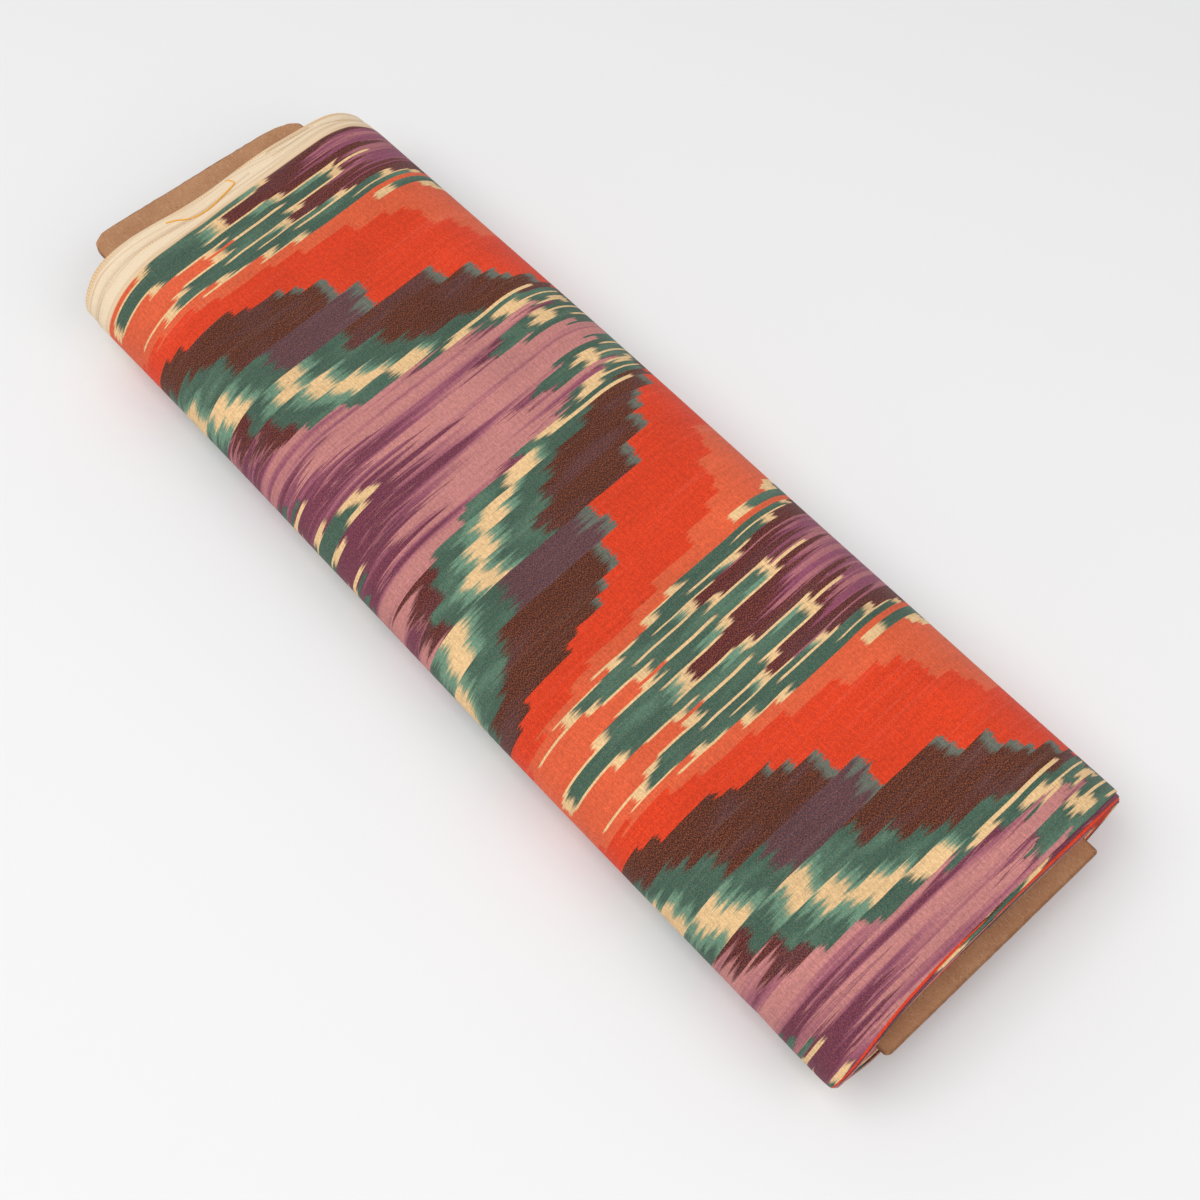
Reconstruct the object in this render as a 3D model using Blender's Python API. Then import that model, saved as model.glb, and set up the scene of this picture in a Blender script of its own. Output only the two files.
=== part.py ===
"""A flat bolt of ikat cloth, wound on a cardboard bolt board.

Metres, +Z up. The bolt lies on its underside, at z = 0, with its long axis along X.
The selvage end is at -X and the folded end at +X. There are two solids: the bolt board,
and the cloth that is folded in half lengthwise and wound round it.
"""
import math

import bmesh
import bpy
import numpy as np

# Bolt board: a 24 inch board of solid card, a little worn at its selvage end
BOARD_LENGTH = 0.610
BOARD_WIDTH = 0.142
BOARD_THICKNESS = 0.0028
BOARD_HEIGHT = 0.0290
CORNER_STEPS = 8

# Corners of the board, in order round it: side along X, side along Y, radius along X, radius along Y
BOARD_CORNERS = (
    (1, -1, 0.0030, 0.0040),
    (1, 1, 0.0020, 0.0020),
    (-1, 1, 0.0090, 0.0280),
    (-1, -1, 0.0110, 0.0140),
)

# Wound cloth: the roll's outside, and the slot round the board
ROLL_WIDTH = 0.1996
ROLL_THICKNESS = 0.0600
SIDE_ROUNDING = 0.0430
SIDE_POWER = 1.12
SLOT_WIDTH = 0.1470
SLOT_HEIGHT = 0.0034
SLOT_ROUNDING = 0.0012
FLAT_STEPS = 7
SIDE_STEPS = 11
LENGTH_STEPS = 22

# Slow waves in the roll's top: height, length along X, width along Y, start in radians
TOP_SWELL = 0.0007
TOP_WAVE_LENGTH = 0.327
TOP_WAVE_WIDTH = 0.195
TOP_WAVE_START = 0.8

# Slow waves in the roll's sides: depth, length along X, start in radians at +Y and at -Y
SIDE_SWELL = 0.0008
SIDE_WAVE_LENGTH = 0.534
SIDE_WAVE_START_FAR = 2.0
SIDE_WAVE_START_NEAR = 0.2

# The swell dies out with the depth under the roll's surface
SWELL_FADE = 0.010

# Rings of the selvage end, from the outside in: depth under the roll's surface, place along X
SELVAGE_RINGS = (
    (0.0000, -0.2600),
    (0.0007, -0.2600),
    (0.0008, -0.2660),
    (0.0016, -0.2660),
    (0.0018, -0.2685),
    (0.0030, -0.2690),
    (0.0080, -0.2705),
    (0.0140, -0.2688),
    (0.0200, -0.2712),
    (0.0282, -0.2700),
)

# Rings of the folded end, from the outside in: depth under the roll's surface, place along X
FOLD_RINGS = (
    (0.0000, 0.2932),
    (0.0012, 0.2936),
    (0.0014, 0.2958),
    (0.0026, 0.2960),
    (0.0028, 0.2968),
    (0.0042, 0.2968),
    (0.0046, 0.2952),
    (0.0110, 0.2962),
    (0.0180, 0.2948),
    (0.0282, 0.2956),
)

# Waves of the two ends: middle and width along the girth from the top's middle line, reach along X
SELVAGE_WAVES = (
    (-0.0230, 0.0210, 0.0060),
    (-0.1150, 0.0170, 0.0060),
    (0.0850, 0.0250, -0.0030),
    (0.1900, 0.0300, 0.0035),
    (-0.2100, 0.0350, -0.0025),
)
FOLD_WAVES = (
    (-0.1000, 0.0250, 0.0055),
    (-0.1600, 0.0140, 0.0045),
    (0.1150, 0.0150, -0.0020),
    (0.1800, 0.0350, 0.0025),
    (-0.2000, 0.0300, -0.0015),
)
WAVE_FADE = 0.0090

CARD_BROWN = (0.430, 0.209, 0.108, 1.0)
IKAT_RED = (0.560, 0.066, 0.024, 1.0)


def clear_scene():
    """Removes whatever the file held before."""
    for item in list(bpy.data.objects):
        bpy.data.objects.remove(item, do_unlink=True)


def plain_material(name, colour, roughness):
    """A Principled material with one colour."""
    material = bpy.data.materials.new(name)
    material.use_nodes = True
    shader = material.node_tree.nodes["Principled BSDF"]
    shader.inputs["Base Color"].default_value = colour
    shader.inputs["Roughness"].default_value = roughness
    shader.inputs["Metallic"].default_value = 0.0
    return material


def add_object(name, bm, material):
    """Puts a bmesh in the scene as a named object with its material."""
    bmesh.ops.recalc_face_normals(bm, faces=bm.faces)
    mesh = bpy.data.meshes.new(name)
    bm.to_mesh(mesh)
    bm.free()
    mesh.materials.append(material)
    item = bpy.data.objects.new(name, mesh)
    bpy.context.scene.collection.objects.link(item)
    return item


def board_outline():
    """The board's outline seen from above: four elliptical corners joined by straight edges."""
    points = []
    start = -0.5 * math.pi
    for side_x, side_y, radius_x, radius_y in BOARD_CORNERS:
        centre_x = side_x * (0.5 * BOARD_LENGTH - radius_x)
        centre_y = side_y * (0.5 * BOARD_WIDTH - radius_y)
        for step in range(CORNER_STEPS + 1):
            angle = start + 0.5 * math.pi * step / CORNER_STEPS
            x = centre_x + radius_x * math.cos(angle)
            y = centre_y + radius_y * math.sin(angle)
            points.append((x, y))
        start += 0.5 * math.pi
    return points


def make_board():
    """The flat card board: its outline, given its thickness."""
    bm = bmesh.new()
    low = BOARD_HEIGHT - 0.5 * BOARD_THICKNESS
    corners = [bm.verts.new((x, y, low)) for x, y in board_outline()]
    face = bm.faces.new(corners)
    raised = bmesh.ops.extrude_face_region(bm, geom=[face])["geom"]
    upper = [v for v in raised if isinstance(v, bmesh.types.BMVert)]
    bmesh.ops.translate(bm, verts=upper, vec=(0.0, 0.0, BOARD_THICKNESS))
    return add_object("bolt_board", bm, plain_material("card", CARD_BROWN, 0.85))


def quarter(half_width, half_height, rounding):
    """A quarter of a section, from its middle line to its side: a flat stretch, then a soft round."""
    flat = (half_width - rounding) * np.arange(FLAT_STEPS) / FLAT_STEPS
    angle = np.linspace(0.0, 0.5 * math.pi, SIDE_STEPS + 1)
    side_y = half_width - rounding + rounding * np.sin(angle) ** SIDE_POWER
    side_z = half_height * np.abs(np.cos(angle)) ** SIDE_POWER
    side_z[-1] = 0.0
    y = np.concatenate([flat, side_y])
    z = np.concatenate([np.full(FLAT_STEPS, half_height), side_z])
    return y, z


def section(depth):
    """The closed section at a depth under the roll's surface, going from its top's middle towards +Y.

    Its width, height, rounding and middle height pass evenly from the roll's outside to the slot's.
    """
    share = depth / (0.5 * (ROLL_THICKNESS - SLOT_HEIGHT))
    half_width = 0.5 * (ROLL_WIDTH + share * (SLOT_WIDTH - ROLL_WIDTH))
    half_height = 0.5 * (ROLL_THICKNESS + share * (SLOT_HEIGHT - ROLL_THICKNESS))
    rounding = SIDE_ROUNDING + share * (SLOT_ROUNDING - SIDE_ROUNDING)
    middle = 0.5 * ROLL_THICKNESS + share * (BOARD_HEIGHT - 0.5 * ROLL_THICKNESS)
    y, z = quarter(half_width, half_height, rounding)
    all_y = np.concatenate([y, y[-2:0:-1], -y, -y[-2:0:-1]])
    all_z = np.concatenate([z, -z[-2:0:-1], -z, z[-2:0:-1]])
    return all_y, all_z + middle


def girth(y, z):
    """Each point's distance along the section from its top's middle line: + towards +Y, - towards -Y."""
    steps = np.hypot(np.diff(np.append(y, y[0])), np.diff(np.append(z, z[0])))
    along = np.concatenate([[0.0], np.cumsum(steps)[:-1]])
    return np.where(along > 0.5 * steps.sum(), along - steps.sum(), along)


def wave(place, waves):
    """A sum of smooth bumps along the girth."""
    total = np.zeros_like(place)
    for middle, width, reach in waves:
        total += reach * np.exp(-((place - middle) / width) ** 2)
    return total


def swell(x, y, z, depth):
    """Moves points near the roll's surface in and out a little; its underside stays flat."""
    fade = math.exp(-depth / SWELL_FADE)
    along = np.sin(2.0 * math.pi * x / TOP_WAVE_LENGTH + TOP_WAVE_START)
    across = np.cos(2.0 * math.pi * y / TOP_WAVE_WIDTH)
    top = TOP_SWELL * (along * across - 0.5)
    start = np.where(y > 0.0, SIDE_WAVE_START_FAR, SIDE_WAVE_START_NEAR)
    side = SIDE_SWELL * (np.sin(2.0 * math.pi * x / SIDE_WAVE_LENGTH + start) - 0.5)
    height = np.clip(z / ROLL_THICKNESS, 0.0, 1.0) ** 3
    reach = np.clip(np.abs(y) / (0.5 * ROLL_WIDTH), 0.0, 1.0) ** 4
    return y + np.sign(y) * side * reach * fade, z + top * height * fade


def ring(x, depth):
    """One closed loop of the roll: its section at a depth, at the places along X that are given."""
    y, z = swell(x, *section(depth), depth)
    return np.stack([x, y, z], axis=1)


def end_line(place_x, depth, waves):
    """An end's places along X, all round the girth, with waves that fade towards the board."""
    return place_x + math.exp(-depth / WAVE_FADE) * wave(girth(*section(0.0)), waves)


def cloth_rings():
    """The rings of the wound cloth: its selvage end, its outside, its folded end and its slot."""
    selvage_end = [(end_line(x, depth, SELVAGE_WAVES), depth) for depth, x in SELVAGE_RINGS]
    folded_end = [(end_line(x, depth, FOLD_WAVES), depth) for depth, x in FOLD_RINGS]
    first, last = selvage_end[0][0], folded_end[0][0]
    shares = np.arange(1, LENGTH_STEPS) / LENGTH_STEPS
    outside = [((1.0 - share) * first + share * last, 0.0) for share in shares]
    slot_x, slot_depth = folded_end[-1]
    slot = [(slot_x + share * (selvage_end[-1][0] - slot_x), slot_depth) for share in (0.25, 0.5, 0.75)]
    return [ring(x, depth) for x, depth in selvage_end[::-1] + outside + folded_end + slot]


def make_cloth():
    """The wound cloth as one closed tube: each ring is joined to the next, and the last to the first."""
    rings = cloth_rings()
    bm = bmesh.new()
    loops = [[bm.verts.new(point) for point in loop] for loop in rings]
    count = len(loops[0])
    for index, loop in enumerate(loops):
        following = loops[(index + 1) % len(loops)]
        for step in range(count):
            after = (step + 1) % count
            bm.faces.new((loop[step], loop[after], following[after], following[step]))
    return add_object("wound_cloth", bm, plain_material("ikat", IKAT_RED, 0.9))


clear_scene()
make_board()
make_cloth()
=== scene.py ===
# %% [markdown]
# A bolt of ikat cotton on its card board.
# The cloth is folded in half lengthwise and wound flat round a thin card. This lesson dresses
# the plain solids of the frame: the outermost turn becomes a thin doubled sheet with its ikat
# pattern, the turns below it show their fold edges and selvages at the two ends, the card gets
# its worn edges, and a loose thread lies on the selvages.

# %% Load the frame
import bpy
import numpy as np
from mathutils import Matrix


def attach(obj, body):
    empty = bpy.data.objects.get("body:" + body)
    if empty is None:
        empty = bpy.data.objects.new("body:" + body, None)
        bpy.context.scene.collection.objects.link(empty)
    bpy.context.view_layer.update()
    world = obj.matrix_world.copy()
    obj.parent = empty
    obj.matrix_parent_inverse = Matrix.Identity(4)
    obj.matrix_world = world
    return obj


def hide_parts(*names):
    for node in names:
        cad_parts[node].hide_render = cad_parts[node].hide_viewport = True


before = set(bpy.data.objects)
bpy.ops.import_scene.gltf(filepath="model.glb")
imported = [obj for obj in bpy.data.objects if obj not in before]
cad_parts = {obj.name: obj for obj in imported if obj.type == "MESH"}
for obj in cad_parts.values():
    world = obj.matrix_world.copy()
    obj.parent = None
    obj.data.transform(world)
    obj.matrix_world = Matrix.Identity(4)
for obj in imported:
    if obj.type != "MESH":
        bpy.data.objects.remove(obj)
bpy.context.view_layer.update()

# %% [markdown]
# Every surface here is a grid of points, worked out with numpy as whole arrays and then put into
# a mesh. Blender could also sculpt or simulate such a bolt, but a wound bolt is so regular that
# formulas give it exactly, and they are easy to change later.

# %% Helpers that put a grid into a mesh
def stacked(*columns):
    """Numbers or arrays side by side as the last axis, each stretched to their common shape."""
    return np.stack(np.broadcast_arrays(*columns), axis=-1)


def grid_faces(rows, columns, round_rows=False, round_columns=False, start=0):
    """The four-sided faces of a grid: point (r, c) joins (r, c + 1), (r + 1, c + 1) and (r + 1, c)."""
    index = np.arange(rows * columns).reshape(rows, columns)
    if round_rows:
        index = np.vstack([index, index[:1]])
    if round_columns:
        index = np.hstack([index, index[:, :1]])
    corners = [index[:-1, :-1], index[:-1, 1:], index[1:, 1:], index[1:, :-1]]
    return [tuple(f) for f in (np.stack([c.ravel() for c in corners], axis=1) + start).tolist()]


def put_mesh(name, points, faces, fields=None, flat=False):
    """Makes an object from points and faces. Each field is a number or a vector kept at every point."""
    mesh = bpy.data.meshes.new(name)
    mesh.from_pydata(np.asarray(points).reshape(-1, 3).tolist(), [], faces)
    for field, values in (fields or {}).items():
        values = np.asarray(values, dtype=np.float32)
        is_vector = values.ndim > 1 and values.shape[-1] == 3
        kind, slot = ("FLOAT_VECTOR", "vector") if is_vector else ("FLOAT", "value")
        layer = mesh.attributes.new(field, kind, "POINT")
        layer.data.foreach_set(slot, values.ravel())
    mesh.polygons.foreach_set("use_smooth", np.full(len(mesh.polygons), not flat))
    mesh.update()
    piece = bpy.data.objects.new(name, mesh)
    bpy.context.scene.collection.objects.link(piece)
    return piece


# %% [markdown]
# The photograph was taken from above the folded end, on the side that shows the near long edge.
# The camera was fitted to the card's corners and the roll's outlines, so its place is given as
# three axes and a point. A longer lens from further away would flatten the bolt too much.

# %% Camera
camera_data = bpy.data.cameras.new("camera")
camera_data.sensor_width = 36.0
camera_data.lens = 52.73
camera_data.clip_start = 0.05
camera = bpy.data.objects.new("camera", camera_data)
camera_right = (0.67123, 0.74110, 0.01494)
camera_up = (-0.65273, 0.58140, 0.48571)
camera_back = (0.35130, -0.33580, 0.87400)
camera_place = (0.35950, -0.30400, 0.79080)
axes = np.array([camera_right, camera_up, camera_back, camera_place]).T
camera.matrix_world = Matrix(np.vstack([axes, [0.0, 0.0, 0.0, 1.0]]).tolist())
bpy.context.scene.collection.objects.link(camera)
bpy.context.scene.camera = camera
bpy.context.scene.view_settings.view_transform = "Standard"
print("camera at", camera_place, "lens", camera_data.lens, "mm")

# %% [markdown]
# The roll's cross-section is flat above and below and softly rounded at its sides. The solid was
# built from the same few sizes, and they are repeated here so that the cloth lies on it. A point
# is named by its share of the way round (0 at the middle of the top, then towards +Y) and by its
# depth under the roll's surface.

# %% Sizes of the roll
ROLL_WIDTH, ROLL_THICKNESS = 0.1996, 0.0600
SIDE_ROUNDING, SIDE_POWER = 0.0430, 1.12
SLOT_WIDTH, SLOT_HEIGHT, SLOT_ROUNDING = 0.1470, 0.0034, 0.0012
BOARD_HEIGHT = 0.0290
WINDING = 0.5 * (ROLL_THICKNESS - SLOT_HEIGHT)
TURNS = 28
PITCH = WINDING / TURNS
# The share of each quarter of the section that goes to its flat stretch
FLAT_SHARE = 0.409
# Slow waves of its top and sides: height, length and width in metres, start in radians
TOP_SWELL, TOP_WAVE_LENGTH, TOP_WAVE_WIDTH, TOP_WAVE_START = 0.0007, 0.327, 0.195, 0.8
SIDE_SWELL, SIDE_WAVE_LENGTH, FAR_START, NEAR_START = 0.0008, 0.534, 2.0, 0.2
SWELL_FADE = 0.010
print("winding: %.1f mm thick, %.2f mm a turn" % (1000.0 * WINDING, 1000.0 * PITCH))


# %% The section of the roll
def section(share, depth):
    """A point's y and z. Each quarter is a flat stretch and then a side whose y follows the sine,
    and z the cosine, of an angle, both raised to a power a little over 1."""
    share, depth = np.broadcast_arrays(np.mod(share, 1.0), depth)
    inward = depth / WINDING
    half_width = 0.5 * (ROLL_WIDTH + inward * (SLOT_WIDTH - ROLL_WIDTH))
    half_height = 0.5 * (ROLL_THICKNESS + inward * (SLOT_HEIGHT - ROLL_THICKNESS))
    rounding = SIDE_ROUNDING + inward * (SLOT_ROUNDING - SIDE_ROUNDING)
    middle = 0.5 * ROLL_THICKNESS + inward * (BOARD_HEIGHT - 0.5 * ROLL_THICKNESS)
    quarter = np.floor(4.0 * share).astype(int)
    part = 4.0 * share - quarter
    part = np.where(quarter % 2 == 1, 1.0 - part, part)
    angle = 0.5 * np.pi * np.clip((part - FLAT_SHARE) / (1.0 - FLAT_SHARE), 0.0, 1.0)
    flat = half_width - rounding
    y = flat * np.clip(part / FLAT_SHARE, 0.0, 1.0) + rounding * np.sin(angle) ** SIDE_POWER
    z = half_height * np.abs(np.cos(angle)) ** SIDE_POWER
    y = np.where(quarter < 2, y, -y)
    z = np.where((quarter == 0) | (quarter == 3), z, -z)
    return y, z + middle


def swell(x, y, z, depth):
    """The slow waves of the roll's top and sides, which die out with the depth."""
    fade = np.exp(-depth / SWELL_FADE)
    along = np.sin(2.0 * np.pi * x / TOP_WAVE_LENGTH + TOP_WAVE_START)
    across = np.cos(2.0 * np.pi * y / TOP_WAVE_WIDTH)
    top = TOP_SWELL * (along * across - 0.5) * np.clip(z / ROLL_THICKNESS, 0.0, 1.0) ** 3
    start = np.where(y > 0.0, FAR_START, NEAR_START)
    side = SIDE_SWELL * (np.sin(2.0 * np.pi * x / SIDE_WAVE_LENGTH + start) - 0.5)
    side = side * np.clip(np.abs(y) / (0.5 * ROLL_WIDTH), 0.0, 1.0) ** 4
    return y + np.sign(y) * side * fade, z + top * fade


fine_share = np.linspace(0.0, 1.0, 4001)
fine_y, fine_z = section(fine_share, 0.0)
fine_length = np.concatenate([[0.0], np.cumsum(np.hypot(np.diff(fine_y), np.diff(fine_z)))])
GIRTH = float(fine_length[-1])
print("girth of the roll: %.1f mm" % (1000.0 * GIRTH))


def share_at(girth_place):
    """The share of the way round at a length along the girth from the top's middle line."""
    return np.interp(np.mod(girth_place, GIRTH), fine_length, fine_share)


# %% [markdown]
# Few bolts are wound perfectly. The selvages wander by some millimetres, the fold edges swing out
# near one corner, and long soft troughs cross the top. They are listed one by one, each with its own
# size, because an even noise would look like crumpled paper.

# %% Edges of the cloth
TOP_SELVAGE = (
    (-0.200, -0.2590), (-0.150, -0.2560), (-0.107, -0.2527), (-0.090, -0.2563), (-0.070, -0.2563),
    (-0.050, -0.2560), (-0.033, -0.2541), (-0.015, -0.2560), (0.003, -0.2589), (0.010, -0.2613),
    (0.030, -0.2634), (0.070, -0.2649), (0.090, -0.2627), (0.150, -0.2612), (0.210, -0.2590))
LOWER_SELVAGE = (
    (-0.200, -0.2690), (-0.150, -0.2645), (-0.104, -0.2613), (-0.097, -0.2649), (-0.085, -0.2670),
    (-0.061, -0.2639), (-0.047, -0.2634), (-0.033, -0.2603), (-0.019, -0.2597), (-0.004, -0.2617),
    (0.003, -0.2641), (0.010, -0.2663), (0.030, -0.2684), (0.060, -0.2674), (0.081, -0.2713),
    (0.097, -0.2700), (0.150, -0.2680), (0.210, -0.2690))
OUTER_FOLD = (
    (-0.230, 0.2934), (-0.160, 0.2978), (-0.125, 0.2960), (-0.100, 0.2992), (-0.085, 0.2985),
    (-0.060, 0.2955), (-0.030, 0.2938), (0.030, 0.2934), (0.070, 0.2937), (0.095, 0.2925),
    (0.115, 0.2912), (0.150, 0.2930), (0.180, 0.2957), (0.230, 0.2934))
EDGE_SOFTENING = 0.008


def edge_line(girth_place, line):
    """The edge's place along X: straight between the listed points, then softened by averaging."""
    places, edges = np.array(line).T
    shifts = np.linspace(-EDGE_SOFTENING, EDGE_SOFTENING, 9)
    wrapped = np.mod(np.asarray(girth_place)[..., None] + shifts + 0.5 * GIRTH, GIRTH) - 0.5 * GIRTH
    return np.interp(wrapped, places, edges).mean(axis=-1)


FOLD_DEPTHS = (
    (0.0012, 0.2946), (0.0022, 0.2960), (0.0036, 0.2968), (0.0050, 0.2952), (0.0110, 0.2962),
    (0.0180, 0.2948), (0.0282, 0.2956))
SELVAGE_DEPTHS = (
    (0.0010, -0.2672), (0.0024, -0.2688), (0.0080, -0.2705), (0.0140, -0.2688), (0.0200, -0.2712),
    (0.0282, -0.2700))
print("edges:", len(TOP_SELVAGE), len(LOWER_SELVAGE), len(OUTER_FOLD), "hand-placed points")

# %% Creases of the outermost turn
# Each crease: middle along X and along the girth, direction in degrees from X, half length,
# half width, and height (below zero for a trough)
CREASES = (
    (-0.190, 0.030, 8.0, 0.110, 0.016, -0.00045),
    (-0.080, -0.060, -4.0, 0.150, 0.018, -0.00050),
    (0.060, 0.050, 6.0, 0.120, 0.015, 0.00040),
    (0.195, -0.020, -7.0, 0.100, 0.020, -0.00055),
    (0.215, 0.075, 12.0, 0.060, 0.006, -0.00030),
    (0.250, -0.070, -22.0, 0.045, 0.008, 0.00045),
    (0.262, -0.095, 70.0, 0.030, 0.006, -0.00050),
    (-0.215, -0.085, 28.0, 0.045, 0.008, -0.00045),
    (-0.225, 0.075, -30.0, 0.040, 0.007, -0.00040),
    (-0.010, 0.095, 2.0, 0.140, 0.010, -0.00040),
    (0.120, -0.115, -3.0, 0.150, 0.012, -0.00045),
    (0.020, 0.000, 84.0, 0.080, 0.012, 0.00025),
)
print("creases:", len(CREASES))


def relief(x, girth_place):
    """The sum of the creases: a bell curve across each one, and flat-topped along it."""
    height = np.zeros(np.broadcast(x, girth_place).shape)
    for middle_x, middle_s, degrees, length, width, tall in CREASES:
        cosine, sine = np.cos(np.radians(degrees)), np.sin(np.radians(degrees))
        along = cosine * (x - middle_x) + sine * (girth_place - middle_s)
        across = cosine * (girth_place - middle_s) - sine * (x - middle_x)
        height += tall * np.exp(-((across / width) ** 2) - (along / length) ** 4)
    return height


def on_roll(x, girth_place, depth, lift=0.0):
    """Points on the roll: the section at a depth, with its swell, moved outwards by a lift."""
    share = share_at(girth_place)
    y, z = section(share, depth)
    y, z = swell(x, y, z, depth)
    before_y, before_z = section(share - 0.001, depth)
    after_y, after_z = section(share + 0.001, depth)
    step_y, step_z = after_y - before_y, after_z - before_z
    length = np.hypot(step_y, step_z)
    y = y - lift * step_z / length
    z = z + lift * step_y / length
    return stacked(x, y, z)


# %% [markdown]
# The loose thread: an orange-yellow end from a selvage, about 55 mm long and two thirds of a
# millimetre thick. One end hangs over the lower selvage, and the rest lies in a loose bow on the
# cream bands. It could be a curve object. Here it is a small tube, a ring of points carried along
# its route, so that it can be laid on the two selvages exactly.

# %% Route of the loose thread
# Its middle line rests a little over half its diameter above the cloth, and steps down from the
# upper to the lower selvage over a short stretch. Past the lower one it hangs, by a quarter of the
# way that it goes.
THREAD_DIAMETER, THREAD_REST = 0.0007, 0.00042
STEP_DOWN, STEP_LENGTH, HANG = 0.00075, 0.0005, 0.25
THREAD_ROUTE = (
    (-0.2663, -0.0011), (-0.2634, 0.0014), (-0.2603, 0.0029), (-0.2584, -0.0007), (-0.2566, -0.0071),
    (-0.2546, -0.0143), (-0.2537, -0.0207), (-0.2541, -0.0271), (-0.2570, -0.0329), (-0.2599, -0.0371),
    (-0.2617, -0.0417))


def smooth_line(points, count):
    """An even walk along a curve through the points. Between two of them it is a cubic whose
    slope at each point is half the step from the point before it to the point after it."""
    points = np.asarray(points, dtype=float)
    padded = np.vstack([2.0 * points[0] - points[1], points, 2.0 * points[-1] - points[-2]])
    t = np.linspace(0.0, 1.0, 40, endpoint=False)[:, None, None]
    a, b, c, d = padded[:-3], padded[1:-2], padded[2:-1], padded[3:]
    square, cube = 2 * a - 5 * b + 4 * c - d, 3 * b - a - 3 * c + d
    curve = 0.5 * (2 * b + (c - a) * t + square * t**2 + cube * t**3)
    curve = np.vstack([curve.transpose(1, 0, 2).reshape(-1, points.shape[1]), points[-1:]])
    length = np.concatenate([[0.0], np.cumsum(np.linalg.norm(np.diff(curve, axis=0), axis=1))])
    places = np.linspace(0.0, length[-1], count)
    return stacked(*[np.interp(places, length, column) for column in curve.T])


def tube(path, radius, sides):
    """Rings round a path, each square to it, with a point at either end to close it."""
    ahead = np.gradient(path, axis=0)
    ahead /= np.linalg.norm(ahead, axis=1)[:, None]
    aside = np.cross(ahead, (0.0, 0.0, 1.0))
    aside /= np.linalg.norm(aside, axis=1)[:, None]
    above = np.cross(ahead, aside)
    angle = 2.0 * np.pi * np.arange(sides) / sides
    radius = np.broadcast_to(radius, len(path))[:, None, None]
    cosine, sine = np.cos(angle)[None, :, None], np.sin(angle)[None, :, None]
    rings = path[:, None] + radius * (cosine * aside[:, None] + sine * above[:, None])
    points = np.vstack([rings.reshape(-1, 3), path[:1], path[-1:]])
    faces = grid_faces(len(path), sides, round_columns=True)
    first, last = len(path) * sides, len(path) * sides + 1
    faces += [(first, (k + 1) % sides, k) for k in range(sides)]
    faces += [(last, last - 1 - sides + k, last - 1 - sides + (k + 1) % sides) for k in range(sides)]
    return points, faces


thread_flat = smooth_line(THREAD_ROUTE, 90)
thread_x, thread_s = thread_flat.T
on_top_sheet = 1.0 / (1.0 + np.exp(-(thread_x - edge_line(thread_s, TOP_SELVAGE)) / STEP_LENGTH))
thread_depth = STEP_DOWN * (1.0 - on_top_sheet)
beyond = np.clip(edge_line(thread_s, LOWER_SELVAGE) - thread_x, 0.0, None)
thread_lift = relief(thread_x, thread_s) - thread_depth + THREAD_REST - HANG * beyond
thread_line = on_roll(thread_x, thread_s, 0.0, thread_lift)
thread_points, thread_faces = tube(thread_line, 0.5 * THREAD_DIAMETER, 8)
loose_thread = put_mesh("loose_thread", thread_points, thread_faces)
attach(loose_thread, "root")

# %% [markdown]
# The outermost turn is one thin sheet, folded double: its upper layer runs from the selvage to
# the fold, turns back, and its lower layer ends in the other selvage, a few millimetres further
# out. It goes once round the roll and its cut end is tucked under the bolt. Solidify gives it the
# thickness of the cotton. Every point keeps its place in the cloth, across and along the warp,
# so that the dyed pattern follows the threads and not the room.

# %% Places in the cloth
SELVAGE_BORDER = -0.2505
FOLD_LINE = 0.2937
SHEET_START, SHEET_END = -0.300, 0.290
# The cotton's thickness, and the radius of the fold
COTTON, NOSE = 0.00040, 0.00028
# Its cut end is tucked under the bolt: from where along the girth, over what length, how deep
TUCK_FROM, TUCK_LENGTH, TUCK_DEPTH = -0.2490, 0.010, 0.00105
# It droops beyond the turns below: how much, from where along X, over what length
SELVAGE_DROOP, SELVAGE_DROOP_FROM, SELVAGE_DROOP_LENGTH = 0.0009, -0.2500, 0.018
FOLD_DROOP, FOLD_DROOP_FROM, FOLD_DROOP_LENGTH = 0.0005, 0.2890, 0.008
# The creases fade out under the bolt, and each selvage has a slightly raised edge and a cream band
CREASED_TO, CREASE_FADE = 0.170, 0.030
RIB_HEIGHT, RIB_WIDTH = 0.00012, 0.0010
UPPER_BAND, LOWER_BAND = 0.007, 0.012
# Points across its upper layer, its fold and its lower layer, and along the warp
UPPER_POINTS, NOSE_POINTS, LOWER_POINTS, POINTS_ALONG = 150, 5, 44, 166
# The warp's slope to the bolt, at places along X, and how far from the middle line it stays straight
SKEW_AT, SKEW, SKEW_REACH = (-0.250, -0.060, 0.120, 0.290), (0.080, 0.053, 0.050, 0.012), 0.2


def skewed(x, girth_place):
    """The place across the cloth at a point of the top. The warp runs a little askew to the bolt,
    most near the selvages and least at the fold."""
    return x + np.interp(x, SKEW_AT, SKEW) * SKEW_REACH * np.tanh(girth_place / SKEW_REACH)


# %% The outermost turn
def crowded(count, ends):
    """Numbers from 0 to 1: t minus a share of a sine, so that they stand closer near both ends."""
    t = np.linspace(0.0, 1.0, count)
    return t - ends * np.sin(2.0 * np.pi * t) / (2.0 * np.pi)


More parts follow.
